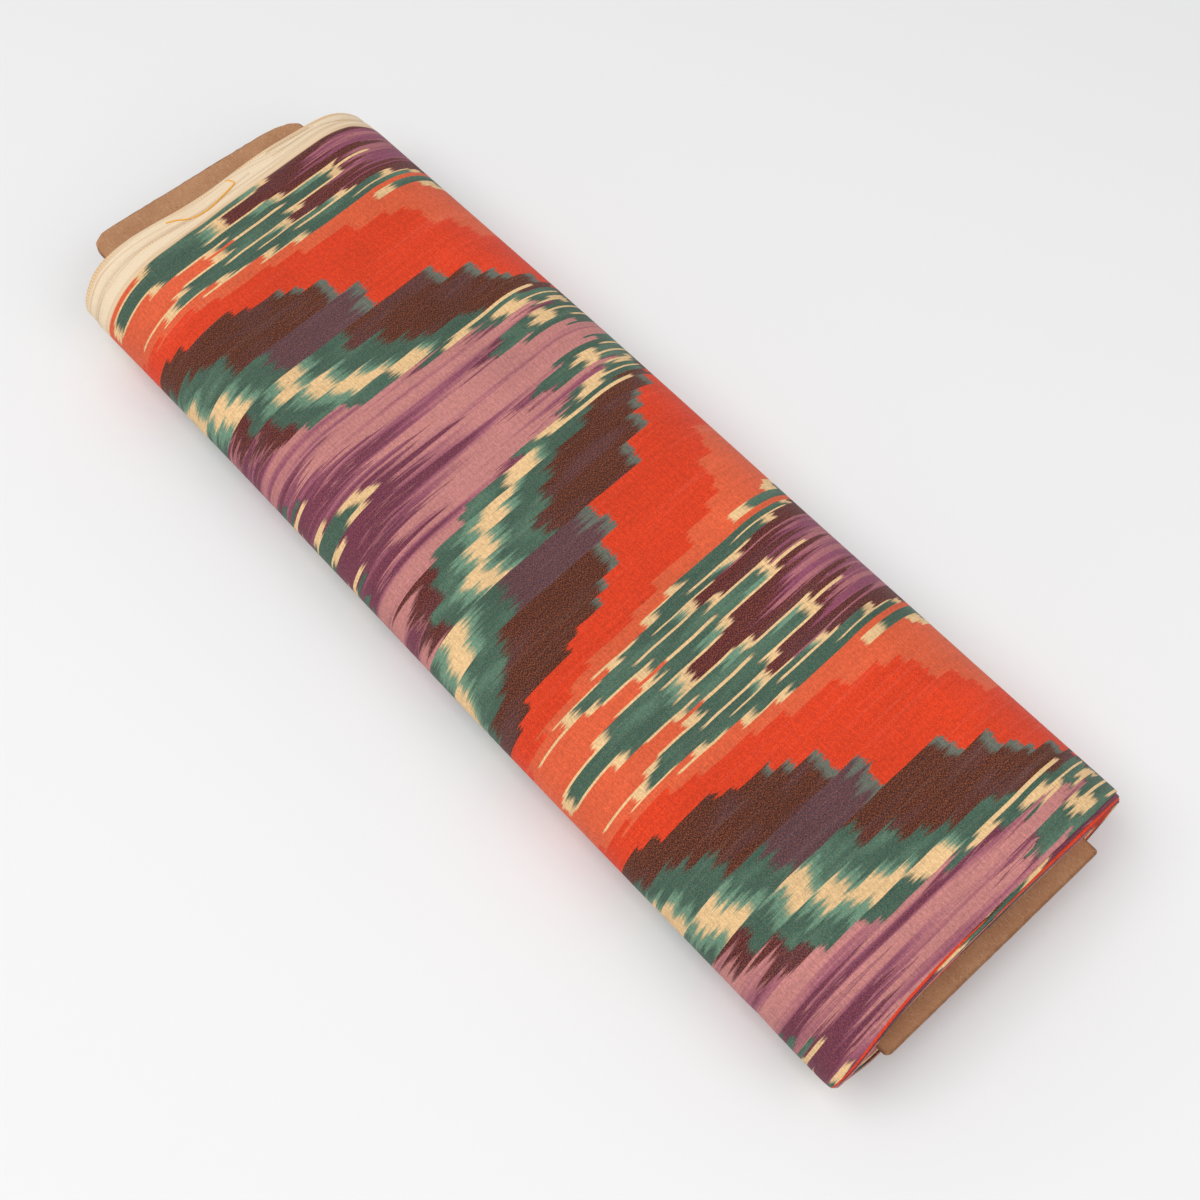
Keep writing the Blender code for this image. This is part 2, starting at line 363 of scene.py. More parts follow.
upper_share = crowded(UPPER_POINTS, 0.6)
lower_share = crowded(LOWER_POINTS, 0.8)
along = np.linspace(SHEET_START, SHEET_END, POINTS_ALONG)
tucked = np.clip((TUCK_FROM - along) / TUCK_LENGTH, 0.0, 1.0)
tuck = TUCK_DEPTH * tucked * tucked * (3.0 - 2.0 * tucked)
upper_edge = edge_line(along, TOP_SELVAGE)[:, None]
lower_edge = edge_line(along, LOWER_SELVAGE)[:, None]
fold_edge = edge_line(along, OUTER_FOLD)[:, None]
nose = np.linspace(0.5 * np.pi, -0.5 * np.pi, NOSE_POINTS + 2)[None, 1:-1]
upper_x = upper_edge + (fold_edge - NOSE - upper_edge) * upper_share[None, :]
nose_x = fold_edge - NOSE + NOSE * np.cos(nose)
lower_x = fold_edge - NOSE + (lower_edge - fold_edge + NOSE) * lower_share[None, :]
sheet_x = np.hstack([upper_x, nose_x, lower_x])
layer = [np.zeros(UPPER_POINTS), NOSE * (1.0 - np.sin(nose[0])), np.full(LOWER_POINTS, 2.0 * NOSE)]
layer = np.hstack(layer)[None, :]
sheet_s = np.broadcast_to(along[:, None], sheet_x.shape)
droop = SELVAGE_DROOP * np.clip((SELVAGE_DROOP_FROM - sheet_x) / SELVAGE_DROOP_LENGTH, 0.0, 1.0) ** 1.5
droop += FOLD_DROOP * np.clip((sheet_x - FOLD_DROOP_FROM) / FOLD_DROOP_LENGTH, 0.0, 1.0) ** 2
visible = np.clip((CREASED_TO - np.abs(sheet_s)) / CREASE_FADE, 0.0, 1.0)
from_edge = np.where(layer > NOSE, sheet_x - lower_edge, sheet_x - upper_edge)
selvage_rib = RIB_HEIGHT * np.exp(-((from_edge / RIB_WIDTH) ** 2))
lift = visible * (relief(sheet_x, sheet_s) - droop + selvage_rib) - layer - 0.5 * COTTON
sheet_points = on_roll(sheet_x, sheet_s, tuck[:, None], lift)
before_fold = np.arange(sheet_x.shape[1])[None, :] < UPPER_POINTS + NOSE_POINTS // 2
unfolded = np.where(before_fold, sheet_x, 2.0 * FOLD_LINE - sheet_x)
cloth_across = np.where(unfolded < FOLD_LINE, skewed(unfolded, sheet_s), unfolded)
band = np.minimum(cloth_across - SELVAGE_BORDER, sheet_x - upper_edge - UPPER_BAND)
inside = np.where(unfolded < FOLD_LINE, band, sheet_x - lower_edge - LOWER_BAND)
outer_turn = put_mesh(
    "outer_turn", sheet_points, [f[::-1] for f in grid_faces(*sheet_x.shape)],
    {"cloth_place": stacked(cloth_across, sheet_s, inside).reshape(-1, 3), "from_edge": from_edge})
thickness = outer_turn.modifiers.new("cotton", "SOLIDIFY")
thickness.thickness = COTTON
thickness.offset = 0.0
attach(outer_turn, "root")
print("outer turn:", sheet_x.shape, "points, turn of %.0f mm" % (1000.0 * (SHEET_END - SHEET_START)))

# %% [markdown]
# Under the outermost turn lie 27 more. Only their edges show: on the folded end a spiral of
# rounded fold noses, and on the selvage end two thin edges for every turn. Each is a small profile
# carried along the whole spiral, which is some 10 m of cloth. A plain core fills the middle. A
# single sheet for all the turns would need millions of faces that nobody sees.

# %% The spiral of the inner turns
POINTS_A_TURN = 88
# They start a little before the outermost turn is complete. Their start is sunk and drawn in at
# both ends, so that the outermost turn covers it.
FIRST_WIND, LAST_WIND = 0.80, TURNS - 0.15
COUNTED_FROM, UNDER_SHEET, START_SINK = 0.46, 0.0004, 0.0007
FOLD_DRAWN_IN, SELVAGE_DRAWN_IN = 0.006, 0.014
# Each turn stands out or in a little and ripples, and the outer edges' waves die out with the depth
FOLD_STAGGER, SELVAGE_STAGGER, FOLD_RIPPLE, SELVAGE_RIPPLE = 0.00032, 0.0006, 0.00025, 0.0004
WAVE_FADE, FOLD_X, LOWER_SELVAGE_X, SELVAGE_FOLLOWS = 0.009, 0.2932, -0.2665, 0.7
winds = np.arange(FIRST_WIND, LAST_WIND, 1.0 / POINTS_A_TURN)
random = np.random.default_rng(28)
turn_number = np.arange(TURNS + 2)
fold_stagger = random.normal(0.0, FOLD_STAGGER, TURNS + 2)
selvage_stagger = random.normal(0.0, SELVAGE_STAGGER, (2, TURNS + 2))
ripple_start = random.uniform(0.0, 2.0 * np.pi, TURNS + 2)


def at_start(wind):
    """1 where the inner turns start, falling evenly to 0 where the outermost turn is complete."""
    return np.clip((1.0 - wind) / (1.0 - FIRST_WIND), 0.0, 1.0)


def depth_at(wind):
    """The depth after some turns: one pitch a turn, and at the start a little more, under the sheet."""
    return PITCH * (wind - COUNTED_FROM) + UNDER_SHEET + START_SINK * at_start(wind)


def spiral(profile_x, profile_depth, edge_x):
    """A profile carried along the spiral, at the depth of each place plus the profile's own.
    Winding goes from the outside in, towards -Y over the top."""
    wind = winds[:, None]
    depth = np.clip(depth_at(wind) + profile_depth[None, :], 0.0, WINDING)
    share = np.mod(-wind, 1.0)
    x = edge_x[:, None] + profile_x[None, :]
    y, z = section(share, depth)
    y, z = swell(x, y, z, depth)
    return stacked(x, y, z)


def at_depth(depth, line):
    """The place along X of an edge at a depth, from listed pairs."""
    depths, places = np.array(line).T
    return np.interp(depth, depths, places)


wind_depth = depth_at(winds)
wind_share = np.mod(-winds, 1.0)
wind_s = np.interp(wind_share, fine_share, fine_length)
wind_s = np.where(wind_s > 0.5 * GIRTH, wind_s - GIRTH, wind_s)
wave_fade = np.exp(-wind_depth / WAVE_FADE)
ripple = np.sin(6.0 * np.pi * wind_share + np.interp(winds, turn_number, ripple_start))
middle_y, middle_z = section(wind_share, np.clip(wind_depth, 0.0, WINDING))
wind_length = np.concatenate([[0.0], np.cumsum(np.hypot(np.diff(middle_y), np.diff(middle_z)))])
print("inner turns: %.1f of them, %.2f m of cloth" % (winds[-1] - winds[0], wind_length[-1]))

# %% Fold noses
fold_x = at_depth(wind_depth, FOLD_DEPTHS) + (edge_line(wind_s, OUTER_FOLD) - FOLD_X) * wave_fade
fold_x = fold_x + np.interp(winds, turn_number, fold_stagger) + FOLD_RIPPLE * ripple
fold_x = fold_x - FOLD_DRAWN_IN * at_start(winds)
NOSE_X = np.array([-0.0090, -0.0015, -0.0004, 0.0000, -0.0004, -0.0015, -0.0090])
NOSE_DEPTH = np.array([0.00040, 0.00040, 0.00026, 0.00000, -0.00026, -0.00040, -0.00040])
nose_points = spiral(NOSE_X, NOSE_DEPTH, fold_x)
nose_across = np.array([0.0090, 0.0015, 0.0004, 0.0000, -0.0004, -0.0015, -0.0090])
# The third value of a place is below 0 in a cream band, and far from an edge no stitches show
IN_PATTERN, IN_CREAM, NO_EDGE = 0.2, -0.01, 0.1
nose_along = -wind_length - FIRST_WIND * GIRTH
nose_place = stacked(FOLD_LINE + nose_across[None, :], nose_along[:, None], IN_PATTERN)
print("fold noses:", nose_points.shape[:2], "points")

# %% Selvages
SELVAGE_X = np.array([0.0140, 0.0004, 0.0000, 0.0000, 0.0004, 0.0140])
SELVAGE_DEPTH = np.array([-0.00017, -0.00018, -0.00012, 0.00012, 0.00018, 0.00017])
selvage_points, selvage_places, selvage_edges = [], [], []
for sheet_number, sheet_depth in enumerate((-0.00022, 0.00022)):
    edge = SELVAGE_FOLLOWS * (edge_line(wind_s, LOWER_SELVAGE) - LOWER_SELVAGE_X) * wave_fade
    edge = at_depth(wind_depth, SELVAGE_DEPTHS) + edge
    edge = edge + np.interp(winds, turn_number, selvage_stagger[sheet_number]) + SELVAGE_RIPPLE * ripple
    edge = edge + SELVAGE_DRAWN_IN * at_start(winds)
    selvage_points.append(spiral(SELVAGE_X, SELVAGE_DEPTH + sheet_depth, edge))
    across = SELVAGE_BORDER - LOWER_BAND + SELVAGE_X[None, :]
    selvage_places.append(stacked(across, -wind_length[:, None], IN_CREAM))
    selvage_edges.append(np.broadcast_to(SELVAGE_X, selvage_places[-1].shape[:2]))
print("selvages:", len(selvage_points), "of", selvage_points[0].shape[:2], "points")

# %% The core and the whole of the inner turns
CORE_DEPTH, CORE_START, CORE_END = 0.0016, -0.2600, 0.2880
CORE_ROUND, CORE_ALONG = 96, 12
core_share = np.arange(CORE_ROUND) / CORE_ROUND
core_x = np.linspace(CORE_START, CORE_END, CORE_ALONG)
core_x = np.concatenate([core_x, np.linspace(CORE_END, CORE_START, CORE_ALONG)])
core_depth = np.repeat([WINDING, CORE_DEPTH], CORE_ALONG)
core_y, core_z = section(core_share[None, :], core_depth[:, None])
core_y, core_z = swell(core_x[:, None], core_y, core_z, core_depth[:, None])
core_points = stacked(core_x[:, None], core_y, core_z)
core_place = stacked(core_x[:, None], core_share[None, :] * GIRTH, IN_PATTERN)


def closed_strip(rows, columns, start):
    """The faces of a profile carried along a path: round it, along it, and one face at either end."""
    faces = grid_faces(rows, columns, round_columns=True, start=start)
    last = start + (rows - 1) * columns
    return faces + [tuple(range(start + columns - 1, start - 1, -1)), tuple(range(last, last + columns))]


parts = [(nose_points, nose_place, np.full(nose_points.shape[:2], NO_EDGE)),
         (selvage_points[0], selvage_places[0], selvage_edges[0]),
         (selvage_points[1], selvage_places[1], selvage_edges[1])]
faces, start = [], 0
for part_points, _, _ in parts:
    faces += closed_strip(*part_points.shape[:2], start)
    start += part_points.shape[0] * part_points.shape[1]
faces += grid_faces(*core_points.shape[:2], round_rows=True, round_columns=True, start=start)
parts.append((core_points, core_place, np.full(core_points.shape[:2], NO_EDGE)))
wound_turns = put_mesh(
    "wound_turns", np.vstack([p.reshape(-1, 3) for p, _, _ in parts]), faces,
    {"cloth_place": np.vstack([q.reshape(-1, 3) for _, q, _ in parts]),
     "from_edge": np.concatenate([e.ravel() for _, _, e in parts])})
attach(wound_turns, "root")
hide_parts("wound_cloth")
print("wound turns:", len(wound_turns.data.polygons), "faces")

# %% [markdown]
# The bolt board is one stiff card. Its folded-end corners are still square, and those at the
# selvage end are worn round. A bevelled box would give all corners the same radius, so the card
# is a small rounded profile carried round an outline with a corner of its own at each place.

# %% The card
HALF_LENGTH, HALF_WIDTH = 0.3050, 0.0710
CORNER_POINTS, CARD_STEP = 15, 0.003
# How far its edge is worn in, how much more beyond a place near the selvage end, and that place
WORN, MORE_WORN, WORN_FROM = 0.00007, 0.00010, -0.25
# Corners, in order round the card: side along X, side along Y, radius along X, radius along Y
CARD_CORNERS = ((1, -1, 0.0030, 0.0040), (1, 1, 0.0020, 0.0020),
                (-1, 1, 0.0090, 0.0280), (-1, -1, 0.0110, 0.0140))
# Rounded edge: how far in from the outline, and height above the card's middle
CARD_EDGE = np.array([(0.00070, 0.00140), (0.00022, 0.00124), (0.0, 0.00080),
                      (0.0, -0.00080), (0.00022, -0.00124), (0.00070, -0.00140)])


def card_outline():
    """The outline seen from above: quarter ellipses and straight edges with a point every 3 mm."""
    angle = np.linspace(0.0, 0.5 * np.pi, CORNER_POINTS)
    corners = []
    for number, (side_x, side_y, radius_x, radius_y) in enumerate(CARD_CORNERS):
        turned = angle + 0.5 * np.pi * (number - 1)
        corners.append(stacked(side_x * (HALF_LENGTH - radius_x) + radius_x * np.cos(turned),
                               side_y * (HALF_WIDTH - radius_y) + radius_y * np.sin(turned)))
    outline = []
    for corner, following in zip(corners, corners[1:] + corners[:1]):
        steps = max(2, int(np.linalg.norm(following[0] - corner[-1]) / CARD_STEP))
        share = np.linspace(0.0, 1.0, steps, endpoint=False)[1:, None]
        outline += [corner, corner[-1] + (following[0] - corner[-1]) * share]
    return np.vstack(outline)


outline = card_outline()
tangent = np.roll(outline, -1, axis=0) - np.roll(outline, 1, axis=0)
tangent /= np.linalg.norm(tangent, axis=1)[:, None]
outward = stacked(tangent[:, 1], -tangent[:, 0])
worn = WORN + MORE_WORN * (outline[:, 0] < WORN_FROM)
edge_x, edge_y = outline.T
ragged_edge = np.sin(510.0 * edge_y + 3.0 * np.sin(190.0 * edge_y)) + np.sin(640.0 * edge_x) - 1.0
ragged_edge = worn * ragged_edge
edge_in, edge_up = CARD_EDGE.T[:, :, None]
rings = outline[None] + outward[None] * (ragged_edge - edge_in)[:, :, None]
card_points = stacked(rings[:, :, 0], rings[:, :, 1], BOARD_HEIGHT + edge_up)
count = len(outline)
card_faces = [f[::-1] for f in grid_faces(len(CARD_EDGE), count, round_columns=True)]
last_ring = (len(CARD_EDGE) - 1) * count
card_faces += [tuple(range(count)), tuple(range(last_ring + count - 1, last_ring - 1, -1))]
card = put_mesh("card", card_points, card_faces, flat=True)
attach(card, "root")
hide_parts("bolt_board")
print("card: %.0f by %.0f mm, %d points round it" % (2000.0 * HALF_LENGTH, 2000.0 * HALF_WIDTH, count))

# %% [markdown]
# Ikat is dyed before it is woven. The warp is stretched, small bundles of threads are tied off
# and dyed, one colour after the other, and the bundles are slid a little along each other. So
# the pattern has one row for each bundle: how wide it is, and which colours follow each other
# along it. A dyer works from a few guide lines, such as the slope between orange and brown, and
# every bundle takes its step from them. This pattern is made the same way: a few slopes and
# zigzags in round numbers, and a rhythm of bundle widths. Half a repeat goes from the middle of
# a mauve field to the middle of a row of dashes, and mirroring it gives the whole cloth.

# %% Dye colours
def dye(red, green, blue):
    """A colour of 0 to 255 as a screen shows it, turned into the linear values that Blender uses."""
    value = np.array([red, green, blue]) / 255.0
    linear = np.where(value <= 0.04045, value / 12.92, ((value + 0.055) / 1.055) ** 2.4)
    return (*linear.tolist(), 1.0)


DYES = {
    "orange": dye(228, 61, 26),
    "salmon": dye(230, 97, 60),
    "brown": dye(62, 32, 30),
    "green": dye(52, 98, 84),
    "teal": dye(104, 150, 126),
    "cream": dye(242, 204, 150),
    "maroon": dye(72, 28, 42),
    "plum": dye(98, 44, 74),
    "violet": dye(144, 76, 106),
    "mauve": dye(200, 133, 130),
    "slate": dye(78, 60, 72),
    "tip": dye(98, 112, 102),
}
SELVAGE_CREAM = dye(241, 221, 192)
WEFT_TAN = dye(196, 104, 50)
THREAD_YELLOW = dye(236, 164, 44)
print("dyes:", ", ".join(DYES))

# %% Guide lines of the pattern
# Places are in mm: across from the middle of the mauve field, and along the warp from the top's
# middle. Each colour has the line where it ends, from the top down; the last one has none.
MAUVE_FIELD = (
    ("orange", ((0, 152), (40, 100))),
    ("brown", ((0, 132), (30, 106), (40, 66))),
    ("green", ((0, 124), (9, 100), (18, 74), (27, 94), (42, 12))),
    ("cream", ((12, 84), (18, 54), (22, 78), (26, 86), (42, -8))),
    ("green", ((0, 112), (18, 24), (25, 84), (42, -28))),
    ("plum", ((14, 36), (19, 12), (22, 46), (26, 76), (42, -40))),
    ("mauve", ((0, -30), (12, -72), (24, -64), (42, -104))),
    ("plum", ((0, -56), (13, -140), (26, -100), (42, -128))),
    ("cream", ((0, -70), (13, -156), (26, -124), (27, -168))),
    ("green", None),
)
SLOPES = (
    ("green", ((99, 200), (128, 114), (140, 62))),
    ("cream", ((92, 200), (126, 106), (140, 50))),
    ("salmon", ((58, 128), (82, 112), (90, 80), (118, 66), (136, 16), (144, -36))),
    ("orange", ((38, 102), (60, 64), (78, 46), (86, 14), (114, 0), (128, -36), (144, -108))),
    ("tip", ((38, 97), (60, 58), (78, 41), (86, 6), (114, -5), (128, -39), (144, -110))),
    ("slate", ((84, -44), (101, -62))),
    ("brown", ((38, 70), (48, 26), (60, -4), (80, -22), (88, -50), (116, -74), (136, -122), (144, -152))),
    ("green", ((38, 30), (50, -2), (62, -34), (82, -46), (90, -74), (118, -102), (134, -136), (144, -166))),
    ("teal", ((38, 26), (50, -8), (62, -42), (82, -54), (90, -82), (118, -109), (134, -142))),
    ("cream", ((38, 6), (50, -30), (62, -56), (82, -68), (90, -98), (118, -122), (134, -154))),
    ("teal", ((46, -32), (50, -43), (62, -65), (82, -77), (90, -110), (118, -130))),
    ("green", ((38, -22), (50, -62), (62, -80), (82, -92), (90, -134), (118, -150), (126, -166))),
    ("maroon", ((54, -92), (82, -108), (90, -146), (118, -166))),
    ("mauve", None),
)
DASHES = (
    ("violet", ((155, 44), (160, 84), (164, 60), (174, 92), (183, 10))),
    ("maroon", ((143, 112), (159, -4), (169, 76), (183, -46))),
    ("cream", ((143, 105), (159, -11), (169, 69), (183, -53))),
    ("teal", ((152, 35), (158, -9), (168, 56), (183, -58))),
    ("green", ((143, 26), (159, -84), (169, -8), (183, -130))),
    ("cream", ((143, 18), (159, -92), (169, -16), (183, -138))),
    ("salmon", ((143, -36), (152, -90), (160, -122), (170, -128), (183, -166))),
    ("orange", ((143, -110), (152, -146), (158, -166))),
    ("brown", None),
)
# Thin bundles among the broad ones are left undyed for longer, so they show as long cream lines
THIN_MAUVE = MAUVE_FIELD[:2] + MAUVE_FIELD[3:]
THIN_DASHES = (
    ("violet", ((155, 40), (160, 74), (164, 52), (174, 84), (183, 6))),
    ("maroon", ((143, 112), (159, 6), (169, 84), (183, -38))),
    ("cream", ((143, 70), (159, -36), (169, 40), (183, -76))),
    ("green", ((143, 36), (159, -72), (169, 4), (183, -112))),
    ("cream", ((143, 6), (159, -104), (169, -30), (183, -148))),
    ("salmon", ((143, -40), (152, -94), (160, -126), (170, -134), (183, -168))),
    ("orange", ((143, -114), (152, -150), (158, -168))),
    ("brown", None),
)
# Narrower bundles are thin ones, a narrower rest joins the bundle before it, and a guide line
# reaches a little past its ends
THIN_BUNDLE, LEAST_REST, LINE_REACH = 1.5, 1.5, 0.1
HALF_REPEAT = 182.5
MM = 0.001
MAUVE_WIDTHS = (2.2, 2.8, 1.2, 3.2, 2.4, 1.3)
SLOPE_WIDTHS = (3.0, 5.0, 4.4, 6.6, 10.6, 6.4, 7.0, 9.4, 9.0, 15.4, 5.4, 5.0, 3.2, 4.6, 5.0, 3.0, 2.6, 3.2)
DASH_WIDTHS = (3.0, 1.1, 3.6, 1.3, 2.6, 1.0, 3.9, 1.2)
# Each part: guide lines of its broad and thin bundles, where it starts and stops, how long its
# steps are, and the widths that its bundles take in turn
PARTS_OF_REPEAT = (
    (MAUVE_FIELD, THIN_MAUVE, 0.0, 40.0, 2.0, MAUVE_WIDTHS),
    (SLOPES, SLOPES, 40.0, 143.0, 1.0, SLOPE_WIDTHS),
    (DASHES, THIN_DASHES, 143.0, HALF_REPEAT, 1.3, DASH_WIDTHS),
)
STEP_RHYTHM = (0.0, 4.5, -3.5, 6.0, -5.0, 2.5, -4.0)
SHORTEST_COLOUR = 3.0
ABOVE_ALL_LINES = 215.0
print("guide lines:", [len(broad_lines) for broad_lines, *_ in PARTS_OF_REPEAT])


# %% Bundles from the guide lines
def make_bundles():
    """Each bundle's far edge, colours and the places where they end. An end is the guide line's
    height at the bundle's middle plus a few mm that follow the step rhythm. A colour that would
    be under 3 mm long, or whose line doesn't cross the bundle, is left out."""
    bundles, number = [], 0
    for broad_lines, thin_lines, start, stop, stride, widths in PARTS_OF_REPEAT:
        edge, turn = start, 0
        while edge < stop:
            width = widths[turn % len(widths)]
            step = stride * STEP_RHYTHM[number % len(STEP_RHYTHM)]
            far = stop if stop - edge - width < LEAST_REST else edge + width
            middle = 0.5 * (edge + far)
            colours, ends, last = [], [], ABOVE_ALL_LINES
            lines = thin_lines if width < THIN_BUNDLE else broad_lines
            for colour, line in lines:
                if line is None:
                    colours.append(colour)
                    break
                places, heights = np.array(line, dtype=float).T
                if not places[0] - LINE_REACH <= middle <= places[-1] + LINE_REACH:
                    continue
                end = float(np.interp(middle, places, heights)) + step
                if last - end >= SHORTEST_COLOUR:
                    colours.append(colour)
                    ends.append(MM * end)
                    last = end
            bundles.append((MM * far, colours, ends))
            edge, turn, number = far, turn + 1, number + 1
    return bundles


BUNDLES = make_bundles()
MOST_COLOURS = max(len(colours) for _, colours, _ in BUNDLES)
# Where the pattern is mirrored, in metres: across at the mauve field's middle, and twice along
MAUVE_MIDDLE = -0.0600
ALONG_TOP, ALONG_LOW = 0.200, -0.168
print("pattern:", len(BUNDLES), "bundles,", MOST_COLOURS, "colours at most")


# %% How softly two colours meet
SOFT_PAIRS = {
    ("cream", "green"): 0.34, ("green", "cream"): 0.34, ("teal", "green"): 0.46,
    ("green", "teal"): 0.46, ("cream", "teal"): 0.4, ("teal", "cream"): 0.4,
    ("brown", "green"): 0.42, ("slate", "green"): 0.46, ("tip", "slate"): 0.5,
    ("tip", "brown"): 0.30, ("orange", "tip"): 0.03, ("green", "maroon"): 0.25,
    ("violet", "maroon"): 0.8, ("maroon", "mauve"): 0.6, ("mauve", "maroon"): 0.7,
    ("plum", "mauve"): 0.75, ("mauve", "plum"): 0.85, ("plum", "cream"): 0.3,
    ("green", "plum"): 0.3, ("green", "mauve"): 0.2, ("orange", "brown"): 0.06,
    ("maroon", "cream"): 0.2, ("cream", "salmon"): 0.12, ("salmon", "orange"): 0.04,
}
OTHER_PAIRS = 0.15
print("soft pairs:", len(SOFT_PAIRS))


def softness(colours, place):
    """How softly the colour at a place in a bundle's list starts, from 0, crisp, to 1, drawn out."""
    if not 0 < place < len(colours):
        return 0.0
    return SOFT_PAIRS.get((colours[place - 1], colours[place]), OTHER_PAIRS)


# %% [markdown]
# In the shader the bundles become colour ramps with constant steps, one for each bundle. One
# ramp holds a colour of the sequence, with the softness of its start as alpha, and the red, green
# and blue of another hold the places where three colours end. A painted picture would be quicker
# to make, but it would blur close up, and its threads couldn't each slip by a different amount.

# %% Helpers for shader nodes
class Tree:
    """Adds nodes to a tree and links them, in fewer words."""

    def __init__(self, tree):
        self.tree = tree

    def add(self, kind, **settings):
        """A new shader node of a kind, with its settings."""
        made = self.tree.nodes.new("ShaderNode" + kind)
        for name, value in settings.items():
            setattr(made, name, value)
        return made

    def join(self, source, target):
        """Links an output to an input, or gives the input a plain value."""
        if hasattr(source, "is_output"):
            self.tree.links.new(source, target)
        else:
            target.default_value = source

    def math(self, operation, first, second=0.0, third=0.0):
        made = self.add("Math", operation=operation)
        for source, socket in zip((first, second, third), made.inputs):
            self.join(source, socket)
        return made.outputs[0]

    def times(self, first, second):
        return self.math("MULTIPLY", first, second)

    def plus(self, first, second):
        return self.math("ADD", first, second)

    def minus(self, first, second):
        return self.math("SUBTRACT", first, second)

    def mix(self, share, first, second, blend="MIX"):
        made = self.add("Mix", data_type="RGBA", blend_type=blend)
        self.join(share, made.inputs[0])
        self.join(first, made.inputs[6])
        self.join(second, made.inputs[7])
        return made.outputs[2]

    def span(self, value, low, high, to_low=0.0, to_high=1.0, smooth=False):
        """A value's place between low and high, carried over to a new range and kept inside it."""
        made = self.add("MapRange", interpolation_type="SMOOTHSTEP" if smooth else "LINEAR")
        for source, socket in zip((value, low, high, to_low, to_high), made.inputs):
            self.join(source, socket)
        return made.outputs[0]

    def noise(self, vector, scale, detail=2.0, roughness=0.5, dimensions="3D"):
        made = self.add("TexNoise", noise_dimensions=dimensions)
        self.join(vector, made.inputs["Vector"])
        made.inputs["Scale"].default_value = scale
        made.inputs["Detail"].default_value = detail
        made.inputs["Roughness"].default_value = roughness
        return made.outputs[0]

    def parts(self, vector):
        """The vector's three values."""
        made = self.add("SeparateXYZ")
        self.join(vector, made.inputs[0])
        return made.outputs

    def streaks(self, place, across, along, offset=0.0, detail=2.0, roughness=0.6):
        """Noise at a separated cloth place that is scaled differently across and along."""
        made = self.add("CombineXYZ")
        self.join(self.math("MULTIPLY_ADD", place[0], across, offset), made.inputs[0])
        self.join(self.math("MULTIPLY", place[1], along), made.inputs[1])
        return self.noise(made.outputs[0], 1.0, detail, roughness, "2D")


def new_group(name, inputs, outputs):
    """A shader node group with named inputs and outputs, and the Tree that fills it."""
    group = bpy.data.node_groups.new(name, "ShaderNodeTree")
    for label, kind in inputs:
        group.interface.new_socket(label, in_out="INPUT", socket_type="NodeSocket" + kind)
    for label, kind in outputs:
        group.interface.new_socket(label, in_out="OUTPUT", socket_type="NodeSocket" + kind)
    ways_in, ways_out = group.nodes.new("NodeGroupInput"), group.nodes.new("NodeGroupOutput")
    return group, Tree(group), ways_in.outputs, ways_out.inputs


def use_group(tree, group, *values):
    """Places a group in a material and gives its inputs their values or links."""
    made = tree.add("Group", node_tree=group)
    for source, socket in zip(values, made.inputs):
        tree.join(source, socket)
    return made.outputs


# %% The bundles as colour ramps
# A ramp's colours run from 0 to 1, so an end of -0.25 to 0.25 m is stored as its share of that
LOWEST_END, END_RANGE = -0.25, 0.5
NO_END = -0.2
# A change of colour is this wide where it is crisp, and wider by the other where it is soft. A
# crisp one also follows its thread's slip a little less.
CRISP_WIDTH, SOFT_WIDTH, CRISP_SLIP = 0.0004, 0.0075, 0.7


def bundle_ramp(tree, position, stops):
    """A colour ramp with constant steps. Each stop is the place where it starts and its colour."""
    ramp = tree.add("ValToRGB")
    ramp.color_ramp.interpolation = "CONSTANT"
    tree.join(position, ramp.inputs[0])
    elements = ramp.color_ramp.elements
    elements.remove(elements[1])
    elements[0].position, elements[0].color = stops[0]
    for place, colour in stops[1:]:
        element = elements.new(place)
        element.color = colour
    return ramp.outputs


def chart_colour(tree, across, along, slip, drawn, bundles, low, high):
    """The dyed colour at a place in one part of the repeat: it starts with each bundle's first
    colour and passes to the next one wherever the place lies below the end of the one before.
    The end is moved by each thread's slip, and where two colours meet softly, by the drawn-out
    noise as well."""
    position = tree.span(across, low, high)
    starts = [0.0] + [(far - low) / (high - low) for far, _, _ in bundles[:-1]]
    most = max(len(colours) for _, colours, _ in bundles)
    colour = bundle_ramp(tree, position, [(s, DYES[b[1][0]]) for s, b in zip(starts, bundles)])[0]
    for first in range(0, most - 1, 3):
        stops = []
        for begin, (_, _, ends) in zip(starts, bundles):
            three = (ends + [NO_END] * (most + 2))[first:first + 3]
            stops.append((begin, (*[(end - LOWEST_END) / END_RANGE for end in three], 1.0)))
        limits = tree.add("SeparateColor")
        tree.join(bundle_ramp(tree, position, stops)[0], limits.inputs[0])
        for step in range(min(3, most - 1 - first)):
            place = first + step + 1
            stops = []
            for begin, (_, colours, _) in zip(starts, bundles):
                shown = DYES[colours[min(place, len(colours) - 1)]]
                stops.append((begin, (*shown[:3], softness(colours, place))))
            following, soft = bundle_ramp(tree, position, stops)
            end = tree.math("MULTIPLY_ADD", limits.outputs[step], END_RANGE, LOWEST_END)
            slips = tree.math("MULTIPLY_ADD", soft, 1.0 - CRISP_SLIP, CRISP_SLIP)
            end = tree.math("MULTIPLY_ADD", slips, slip, end)
            end = tree.math("MULTIPLY_ADD", tree.math("POWER", soft, 3.0), drawn, end)
            width = tree.math("MULTIPLY_ADD", soft, SOFT_WIDTH, CRISP_WIDTH)
            share = tree.math("DIVIDE", tree.minus(end, along), width)
            colour = tree.mix(tree.span(share, -1.0, 1.0, smooth=True), colour, following)
    return colour


